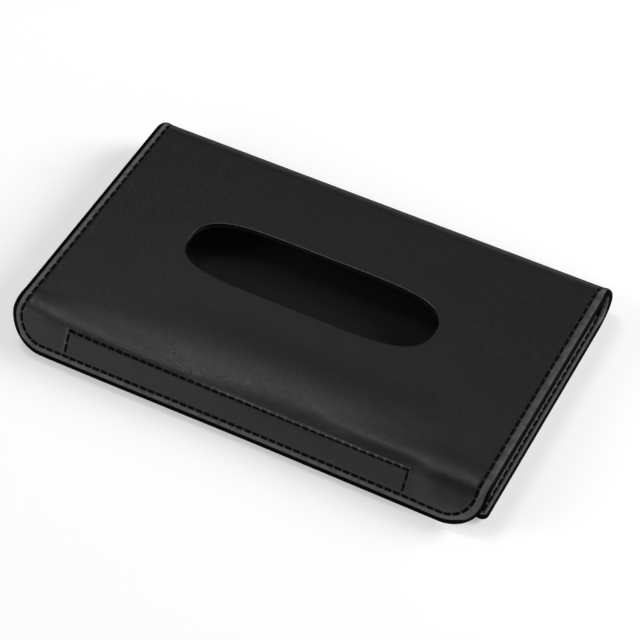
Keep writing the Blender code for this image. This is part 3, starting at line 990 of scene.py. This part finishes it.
def bentWire(name, points, radius):
    # a thin three-sided wire through a few points in the x-z plane
    points = np.array(points)
    length = len(points) - 1
    bpy.ops.object.select_all(action="DESELECT")
    bpy.ops.mesh.primitive_cylinder_add(vertices=3, radius=radius, depth=length)
    wire = named(name)
    cutAt(wire, 2, np.arange(1, length) - length / 2)
    at = readPoints(wire)
    step = np.rint(at[:, 2] + length / 2).astype(int)
    heading = np.gradient(points, axis=0)
    heading /= np.linalg.norm(heading, axis=1)[:, None]
    side = at[:, 0]
    x = points[step, 0] + heading[step, 1] * side
    z = points[step, 1] - heading[step, 0] * side
    writePoints(wire, np.stack([x, at[:, 1], z], 1))
    return wire


def spread(wire, first, last, kind, level):
    # rows and columns of the wire over the tape's width, each moved a little
    pitch, jitter, margin = kind.pitch, kind.jitter, tape.margin
    columns = int((tape.right - tape.left - 2 * margin) / pitch)
    rows = int((last - first - 2 * kind.border) / pitch) + 1
    each = len(wire.data.vertices)
    repeat(wire, columns, (pitch, 0, 0))
    repeat(wire, rows, (0, pitch, 0))
    at = readPoints(wire)
    draw = np.random.default_rng(tape.seed)
    which = np.arange(len(at)) // each
    number = which[-1] + 1
    turn = draw.uniform(-jitter, jitter, number)[which] * tape.turns
    order = np.arange(number)
    centre = np.stack([order % columns, order // columns], 1)[which] * pitch
    moved = centre + draw.uniform(-jitter, jitter, (number, 2))[which] * pitch * tape.moves
    offX, offY = (at[:, :2] - centre).T
    at[:, 0] = moved[:, 0] + offX * np.cos(turn) - offY * np.sin(turn) + tape.left + margin
    at[:, 1] = moved[:, 1] + offX * np.sin(turn) + offY * np.cos(turn) + first + kind.border
    at[:, 2] = level + at[:, 2] * draw.uniform(1 - jitter * tape.shortens, 1, number)[which]
    writePoints(wire, at)
    closeUp(wire, gaps="turn")
    return wire


def makeTapes(hookPaint, loopPaint):
    face = -case.sheet - case.clearance
    first, last = hook.first, hook.last
    base = tapeBase("hook_base", first, last, face - hook.base, face)
    points = [(x * hook.height, z * hook.height) for x, z in hook.shares]
    hooks = spread(bentWire("hooks", points, hook.wire), first, last, hook, face - hook.base)
    cloth = join("hook_tape_cloth", [base, hooks])
    lay(cloth, layOnFlap)
    dress(cloth, hookPaint, "flap", "hook_tape")
    faces = [len(cloth.data.polygons)]

    face = case.clearance
    first, last = loop.foot, loop.foot + loop.width
    base = tapeBase("loop_base", first, last, face, face + loop.base)
    arc = np.radians(np.linspace(0, 180, loop.points))
    points = [(loop.across * math.cos(a), loop.height * math.sin(a)) for a in arc]
    loops = spread(bentWire("loops", points, loop.wire), first, last, loop, face + loop.base)
    cloth = join("loop_tape_cloth", [base, loops])
    lay(cloth, layOnBack)
    dress(cloth, loopPaint, "back", "loop_tape")
    print("tapes", *faces, len(cloth.data.polygons), "faces")


# Elastic straps and the bars of stitches that hold them
strap = Values(
    width=20.0 * mm,
    spacing=124.0 * mm,
    end=10.0 * mm,
    tack=9.0 * mm,
    thickness=1.0 * mm,
    pressed=0.4 * mm,
    eases=2.4 * mm,  # from the tack to its full thickness
    round=0.22 * mm,
    rows=7,
    columns=14,
    barTurns=11,
    barWidth=3.0 * mm,
    barEdge=2.0 * mm,
    barPlaces=(-0.28, 0.28),  # shares of its width
    barSwing=0.16,
    barRise=0.18 * mm,
    thread=(0.2 * mm, 0.42 * mm),  # its thickness and width
)


def makeStraps(cloth, threadPaint):
    start, end = strap.end, case.backLength - strap.end
    low, tack = case.clearance, strap.tack
    for name, side in (("left", -1), ("right", 1)):
        middle = side * strap.spacing / 2
        x0, x1 = middle - strap.width / 2, middle + strap.width / 2
        top = low + strap.thickness
        band = addBox(f"visor_strap_{name}_cloth", (x0, start, low), (x1, end, top))
        applyModifier(band, "BEVEL", width=strap.round, segments=3)
        ease = np.linspace(0, strap.eases, strap.rows)
        cutAt(band, 1, np.concatenate([start + tack + ease, end - tack - ease]))
        cutAt(band, 0, np.linspace(x0, x1, strap.columns)[1:-1])
        at = readPoints(band)
        inner = np.minimum(at[:, 1] - start, end - at[:, 1]) - tack
        thin = strap.pressed / strap.thickness
        at[:, 2] = low + (at[:, 2] - low) * (thin + (1 - thin) * eased(inner, 0, strap.eases))
        writePoints(band, at)
        lay(band, layOnBack)
        dress(band, cloth, "back", f"visor_strap_{name}")

        for where, along in (("far", start + tack / 2), ("near", end - tack / 2)):
            places = [along + share * strap.barWidth for share in strap.barPlaces]
            bars = [zigzag(x0 + strap.barEdge, x1 - strap.barEdge, place) for place in places]
            bar = join(f"strap_bar_{name}_{where}", bars)
            lay(bar, layOnBack, stitch.smooth)
            dress(bar, threadPaint, "back", f"strap_tack_{name}_{where}")
    print("straps")


def zigzag(x0, x1, along):
    # a close zigzag of thread, pressed flat on the strap
    turns = strap.barTurns * 2
    bar = addRod("bar", *strap.thread, x1 - x0)
    cutAt(bar, 0, np.linspace(x0 - x1, x1 - x0, 2 * turns + 1)[1:-1] / 2)
    at = readPoints(bar)
    share = at[:, 0] / (x1 - x0) + 0.5
    swing = np.abs((share * turns) % 2 - 1) * 2 - 1
    at[:, 0] += (x0 + x1) / 2
    at[:, 1] += along + swing * strap.barWidth * strap.barSwing
    at[:, 2] += case.clearance + strap.pressed + strap.barRise
    writePoints(bar, at)
    return bar


# Leather's finish with its painted highlights and painted shade; heights are in mm, scales are cells in a
# metre, and places are across or along the sheet
leatherLook = Values(
    colour=(0.0100, 0.0100, 0.0104),
    band=(0.105, 0.105, 0.102),  # painted highlight: the puffed band over the edge is coloured lighter
    turned=(0.145, 0.145, 0.14),  # painted light on the leather turned to the inside, which lies in the flap's shade
    rim=(0.0016, 0.0016, 0.0018),  # the dark cover's colour: edge paint with painted shade on the outermost part, painted shade in the seams and the slit's painted shadow
    roughness=0.38,
    bandRoughness=0.55,
    rimRoughness=0.8,
    uneven=(0.12, 0.08),  # by how much mottle and broad waves change the roughness
    smoother=(0.1, 0.02),  # where it is rubbed, and towards the left
    smootherLeft=span(-90, 0),
    rougher=0.3,  # where it is sunk
    coat=0.2,  # where it is rubbed
    patches=(3.2, 0.6, 0.3),  # contrast, offset and least of the patches that break up the painted highlight on the band and the painted light on the turned leather
    wornLess=0.4,  # by how much the band's painted highlight is weaker at the right end
    pale=0.25,  # painted highlight on the raised leather outside the closure's seam
    dull=0.96,  # how much the dark cover of edge paint and painted shade covers
    grazing=(0.4, 0.8, 0.75),  # painted shade: first, last and how much of the dark cover darkens a surface seen from the side, hiding its reflection
    grain=(1050.0, 0.22, 0.03),  # scale, share of a cell that is its groove, height
    drawnOut=(0.35, 1.0, 1.0),  # streaks
    sway=(420.0, 1.1 * mm),  # scale, and how far it moves the cells
    pores=(2600.0, 2.0, 0.012),  # scale, detail, height
    streaks=(300.0, 3.0, 0.02),
    broad=(38.0, 3.0, 0.16),
    creases=(800.0, 2.0, 0.16),
    mottle=(240.0, 4.0, 0.6),  # scale, detail, roughness
    pucker=0.05,  # dips under stitches
    puckerEnds=1.3 * mm,
    speck=0.1,  # leather raised between the closure's stitches
    edge=span(1.54, 2.2),  # dark outermost part: edge paint with painted shade
    edgeMore=(0.7 * mm, 0.5 * mm, 0.7 * mm),  # the dark edge's painted shade is wider near and left, narrower right and wider on the back's right
    nearSide=span(137.5, 139.5),
    leftSide=span(107, 109),
    rightTop=span(-2, 6),
    backRight=span(28, 36),
    bandEnds=span(4.4, 5.0),
    hemEnds=span(7.8, 8.6),
    rubbed=span(0.1, 0.7),  # from the slot's edge
    # painted shade in the seams' grooves
    seam=span(0.5, 0.95),
    seamInside=0.2 * mm,  # by which it is narrower on the inside
    dash=(0.5, 0.95, 0.7),  # where a stitch covers its seam, and by how much
    slit=(110.9 * mm, foldLength + foldBaseY + 52.5 * mm),  # painted shadow of a gap in the turned leather near a corner
    slitAcross=span(0.25, 0.6),
    slitAlong=span(2.4, 3.0),
)
# closure's marks: painted highlight on the raised leather and the specks, painted shade in the groove
closureLook = Values(
    groove=span(0.4, 0.7),  # from the seam
    raised=span(0.7, 1.6),
    speckComes=span(0.25, 0.6),
    speckGoes=span(0.8, 1.3),
    speckEnd=span(79.3, 79.5),  # across
    speckWave=(0.3, 0.9),
    threadWave=(0.45, 0.9),
    threadCovers=0.7,
)


def leatherGrain(paint, flat):
    # pebbled, its cells about a millimetre wide and slightly drawn out
    look = leatherLook
    scale, reach = look.sway
    sway = paint.node("ShaderNodeTexNoise", {}, {"Vector": flat, "Scale": scale, "Detail": 1.0}, 1)
    swayed = paint.node(
        "ShaderNodeVectorMath", {"operation": "MULTIPLY_ADD"}, {0: sway, 1: (reach, reach, 0), 2: flat}
    )
    scale, groove, height = look.grain
    cells = paint.node(
        "ShaderNodeTexVoronoi", {"feature": "DISTANCE_TO_EDGE"}, {"Vector": swayed, "Scale": scale}
    )
    grain = cells.step(0.0, groove) * height
    drawnOut = paint.scaled(flat, look.drawnOut)
    for name, vector in (("pores", flat), ("streaks", drawnOut), ("broad", flat)):
        scale, detail, height = look[name]
        grain = grain + paint.noise(vector, scale, detail) * height
    return grain


def closureMarks(u, v):
    # the raised leather outside the closure's seam with a painted highlight, specks on it with a painted
    # highlight, and the groove with its threads and painted shade
    look = closureLook
    beside, beyond = closureBox(u, v * -1)
    past = beside.most(beyond)
    first, last = closure.reliefEnds
    above = v.step(-last, -first)
    onTop = (beyond - beside).step(*closure.topToSide)
    shown = above * (1 - onTop * (1 - u.step(*closure.ridgeOnTop)))
    near, far = look.raised
    fall = ((far - past) / (far - near)).most(0.0).least(1.0)
    raised = past.step(*look.groove) * fall * shown

    run = runOf(*closureSeam())[-1]
    turns = 2 * math.pi * stitchCount(run) / run
    middle = (closure.left + closure.right) / 2
    topRun = (u - middle) * stitch.closer + run / 2
    sideRun = (v + closure.foot) * stitch.wider
    topWave, sideWave = ((way * turns + math.pi / 2).sine() for way in (topRun, sideRun))
    wave = sideWave + onTop * (topWave - sideWave)
    outside = past.step(*look.speckComes) * (1 - past.step(*look.speckGoes))
    # specks raised between the stitches, also coloured lighter as a painted highlight
    speck = wave.step(*look.speckWave) * outside * shown * (1 - u.step(*look.speckEnd))
    # painted shade in the groove, less where a thread lies
    groove = (abs(past).step(*look.groove) - 1) * above
    return raised, speck, groove * (wave.step(*look.threadWave) * look.threadCovers - 1)


def leatherPaint():
    look = leatherLook
    paint = Paint("case leather", Specular_IOR_Level=0.42, Coat_Roughness=0.25, Coat_IOR=1.45)
    flat = paint.flat()
    u, v = paint.parts(flat)[:2]
    names = ("rim", "seam", "stitch", "slotEdge", "inside")
    rim, seam, phase, slotEdge, inside = (paint.field(name) for name in names)
    broad, mottle = (paint.noise(flat, *values) for values in (look.broad[:2], look.mottle))
    raised, speck, threads = closureMarks(u, v)
    # the leather dips under each stitch and rises between two
    ridge = (phase * (2 * math.pi) + math.pi / 2).sine()
    pucker = (1 - seam.step(0.0, look.puckerEnds)) * ridge * look.pucker

    # where the dark edge, edge paint with painted shade, is wider or narrower
    first, last = look.nearSide
    near = 1 - v.step(-last, -first)
    first, last = look.leftSide
    left, far = 1 - u.step(-last, -first), u.step(first, last)
    right = far * (1 - near) * (1 - v.step(*look.rightTop))
    backRight = far * v.step(*look.backRight) * inside
    more, less, behind = look.edgeMore
    wide = rim - near.most(left) * more + right * less - backRight * behind
    edge = 1 - wide.step(*look.edge)
    hem = inside * (1 - rim.step(*look.hemEnds))
    band = (1 - edge) * (1 - rim.step(*look.bandEnds)).most(hem)
    scale, detail, height = look.creases
    creases = band * paint.noise(flat, scale, detail) * height
    paint.bump(leatherGrain(paint, flat) + pucker + speck * look.speck + creases, 1 * mm)

    rubbed = 1 - slotEdge.step(*look.rubbed)
    # painted shade in the seams' grooves, less where a stitch lies
    first, last, share = look.dash
    dash = 1 - ridge.step(first, last) * share
    sunk = ((1 - (seam + inside * look.seamInside).step(*look.seam)) * dash).most(threads)
    # the slit's painted shadow
    across, along = look.slit
    slit = (1 - abs(u - across).step(*look.slitAcross)) * inside
    slit = slit * (1 - abs(v - along).step(*look.slitAlong))
    fine, coarse = look.uneven
    rough = look.roughness + (mottle - 0.5) * fine + (broad - 0.5) * coarse
    whereRubbed, toLeft = look.smoother
    rough = rough + band * (look.bandRoughness - look.roughness) - rubbed * whereRubbed
    rough = rough + sunk * look.rougher - (1 - u.step(*look.smootherLeft)) * toLeft
    paint.set("Roughness", rough)
    paint.set("Coat Weight", rubbed * look.coat)
    # painted highlight: the band, the raised leather by the closure and the specks are mixed towards a
    # lighter colour, in patches
    contrast, offset, least = look.patches
    patchy = (mottle * contrast - offset).most(least)
    paintedBandHighlight = band * patchy * (1 - right * look.wornLess)
    paintedHighlightColour = paint.mix(paintedBandHighlight + speck + raised * look.pale, look.colour, look.band)
    # painted light: the turned leather inside is mixed towards a lighter colour
    paint.set("Base Color", paint.mix(hem * (1 - edge) * patchy, paintedHighlightColour, look.turned))
    # painted shade where a surface is seen from the side
    grazing = paint.node("ShaderNodeLayerWeight", {}, {"Blend": 0.5}, output=1)
    first, last, share = look.grazing
    # the dark cover: edge paint with painted shade on the outer edge, painted shade in the seams' grooves,
    # the slit's painted shadow, and painted shade where the leather is seen from the side
    dull = sunk.most(edge).most(slit).most(grazing.step(first, last) * share)
    dark = {"Base Color": (*look.rim, 1), "Roughness": look.rimRoughness, "Specular IOR Level": 0.0}
    paint.cover(dull * look.dull, dark)
    return paint.owner


threadLook = Values(
    colours=[(0.0022, 0.0022, 0.0024), (0.004, 0.004, 0.0045)],
    twist=0.42 * mm,
    slant=1.4,
    depth=0.04 * mm,
    fibres=4000.0,  # scale
    roughness=(0.62, 0.08),  # and how much more on the twist
)


def threadPaint():
    look = threadLook
    paint = Paint("sewing thread", Specular_IOR_Level=0.05)
    u, v = paint.parts(paint.flat())[:2]
    twist = ((u + v * look.slant) * (2 * math.pi / look.twist)).sine()
    paint.bump(twist * 0.5 + 0.5, look.depth)
    rough, more = look.roughness
    paint.set("Roughness", rough + twist * more)
    paint.set("Base Color", paint.mix(paint.noise(paint.flat(), look.fibres), *look.colours))
    return paint.owner


# Plain weaves: colour, spacing of the threads across and along in mm, depth in mm, roughness
cloths = {
    "case lining": ((0.0050, 0.0050, 0.0055), 0.55, 0.55, 0.07, 0.78),
    "hook tape": ((0.009, 0.009, 0.0095), 0.9, 0.5, 0.08, 0.45),
    "loop tape": ((0.007, 0.007, 0.0075), 0.7, 0.7, 0.12, 0.85),
}
weave = Values(
    fuzz=(3500.0, 3.0),  # scale, detail
    heights=(0.5, 0.4, 0.3),  # of the crossing threads, the fuzz and the ribs
    pales=(0.35, 0.6),  # how much the threads and the fuzz do
    lighter=1.9,
    rougher=0.08,
)


def clothPaint(name):
    colour, across, along, depth, roughness = cloths[name]
    paint = Paint(name, Specular_IOR_Level=0.25, Sheen_Weight=0.06, Sheen_Roughness=0.5)
    u, v = paint.parts(paint.flat())[:2]
    warp = (u * (2 * math.pi / (across * mm))).sine()
    weft = (v * (2 * math.pi / (along * mm))).sine()
    crossing = warp * weft
    fuzz = paint.noise(paint.flat(), *weave.fuzz)
    threads, hairs, ribs = weave.heights
    paint.bump(crossing * threads + fuzz * hairs + abs(warp) * ribs, depth * mm)
    paint.set("Roughness", roughness + fuzz * weave.rougher)
    light = [c * weave.lighter for c in colour]
    threads, hairs = weave.pales
    pale = (crossing * threads + fuzz * hairs).least(1.0)
    paint.set("Base Color", paint.mix(pale, colour, light))
    return paint.owner


elasticLook = Values(
    colours=[(0.010, 0.010, 0.011), (0.020, 0.020, 0.022)],
    ribs=1.25 * mm,
    folds=0.7 * mm,
    lag=1.2,  # by which a fold lags on a rib, in radians
    fuzz=(3000.0, 3.0),  # scale, detail
    heights=(0.7, 0.3, 0.25),  # of the ribs, the folds and the fuzz
    pales=(0.5, 0.4),  # how much the ribs and the fuzz do
    depth=0.16 * mm,
    roughness=(0.72, 0.1),  # and how much more in the fuzz
)


def elasticPaint():
    # lengthwise ribs with the rubber's small cross folds
    look = elasticLook
    paint = Paint("elastic webbing", Specular_IOR_Level=0.25, Sheen_Weight=0.05, Sheen_Roughness=0.5)
    u, v = paint.parts(paint.flat())[:2]
    rib = abs((u * (math.pi / look.ribs)).sine())
    cross = (v * (2 * math.pi / look.folds) + rib * look.lag).sine()
    fuzz = paint.noise(paint.flat(), *look.fuzz)
    ribs, folds, hairs = look.heights
    paint.bump(rib * ribs + cross * folds + fuzz * hairs, look.depth)
    rough, more = look.roughness
    paint.set("Roughness", rough + fuzz * more)
    ribs, hairs = look.pales
    paint.set("Base Color", paint.mix((rib * ribs + fuzz * hairs).least(1.0), *look.colours))
    return paint.owner


boardLook = Values(
    colours=[(0.20, 0.19, 0.17), (0.38, 0.365, 0.34)],
    fibres=(900.0, 4.0, 0.65),  # scale, detail, roughness
    drawnOut=(1.0, 3.0, 1.0),
    specks=(2400.0, 1.0),
    depth=0.05 * mm,
    roughness=(0.82, 0.1),  # and how much more in the specks
)


def boardPaint():
    look = boardLook
    paint = Paint("grey board", Specular_IOR_Level=0.2)
    place = paint.node("ShaderNodeTexCoord", {}, {}, output=3)
    fibres = paint.noise(paint.scaled(place, look.drawnOut), *look.fibres)
    paint.bump(fibres, look.depth)
    rough, more = look.roughness
    paint.set("Roughness", rough + paint.noise(place, *look.specks) * more)
    paint.set("Base Color", paint.mix(fibres, *look.colours))
    return paint.owner


# Floor, lights and camera
stage = Values(
    floor=6.0,
    floorHeight=-0.1 * mm,
    floorColour=(0.86, 0.86, 0.86),
    floorGlow=0.38,
    sky=[(0.22, 0.85), (0.55, 0.03)],  # height and grey, below and above
    skyBehind=(0.12, 0.12, 0.12),
    skyTurns=(-0.1, 0.5),  # from one to the other, front to back
    lights=[
        # name, place, size, watts
        ("topSoftbox", (-0.43, 0.23, 1.31), 0.45, 3.6),
        ("leftSoftbox", (-1.2, -0.8, 0.9), 0.8, 5.8),
        ("rightSoftbox", (1.4, 0.9, 0.9), 0.9, 26.0),
    ],
    aim=(0.0, 0.00376, 0.0013),
    azimuth=27.43,
    elevation=48.73,
    roll=0.378,
    distance=1.0466,
    lens=131.49,
    sensor=36,
    shift=0.00777,
    nearest=0.01,
)


def makeStage():
    bpy.ops.object.select_all(action="DESELECT")
    bpy.ops.mesh.primitive_plane_add(size=stage.floor, location=(0, 0, stage.floorHeight))
    floor = named("studioFloor")
    paint = Paint(
        "studio floor", Base_Color=(*stage.floorColour, 1), Roughness=0.9, Specular_IOR_Level=0.1,
        Emission_Strength=1.0,
    )
    camera, glossy, through = (paint.node("ShaderNodeLightPath", {}, {}, i) for i in (0, 3, 6))
    paint.set("Emission Color", camera.most(glossy).most(through) * stage.floorGlow)
    floor.data.materials.append(paint.owner)

    sky = Paint("studio", bpy.data.worlds.new("studio"))
    bpy.context.scene.world = sky.owner
    away, up = sky.parts(sky.node("ShaderNodeTexCoord"))[1:]
    ramp = sky.node("ShaderNodeValToRGB", {"stops": stage.sky}, {0: up})
    first, last = stage.skyTurns
    behind = sky.node("ShaderNodeMapRange", {}, {"Value": away, "From Min": first, "From Max": last})
    sky.set("Color", sky.mix(behind, ramp, stage.skyBehind))

    for name, place, size, watts in stage.lights:
        bpy.ops.object.light_add(type="AREA", location=place)
        lamp = named(name)
        lamp.data.size = size
        lamp.data.energy = watts
        lamp.rotation_euler = (-Vector(place)).to_track_quat("-Z", "Y").to_euler()

    azimuth, elevation = math.radians(stage.azimuth), math.radians(stage.elevation)
    back = Vector((
        math.sin(azimuth) * math.cos(elevation),
        -math.cos(azimuth) * math.cos(elevation),
        math.sin(elevation),
    ))
    bpy.ops.object.camera_add(location=Vector(stage.aim) + back * stage.distance)
    camera = bpy.context.object
    turn = Matrix.Rotation(math.radians(stage.roll), 3, "Z")
    camera.rotation_euler = (back.to_track_quat("Z", "Y").to_matrix() @ turn).to_euler()
    camera.data.lens = stage.lens
    camera.data.sensor_width = stage.sensor
    camera.data.shift_x = stage.shift
    camera.data.clip_start = stage.nearest
    bpy.context.scene.camera = camera
    bpy.context.scene.view_settings.view_transform = "Standard"
    print("stage")


makeStage()
leather = leatherPaint()
thread = threadPaint()
makeFlapLeather(leather)
makeFoldLeather(leather)
makeBackLeather(leather)
makeLinings(clothPaint("case lining"))
makeStitching(thread)
makeTapes(clothPaint("hook tape"), clothPaint("loop tape"))
makeStraps(elasticPaint(), thread)
board = boardPaint()
for name in ("flap_board", "back_board"):
    nodes[name].data.materials.clear()
    nodes[name].data.materials.append(board)
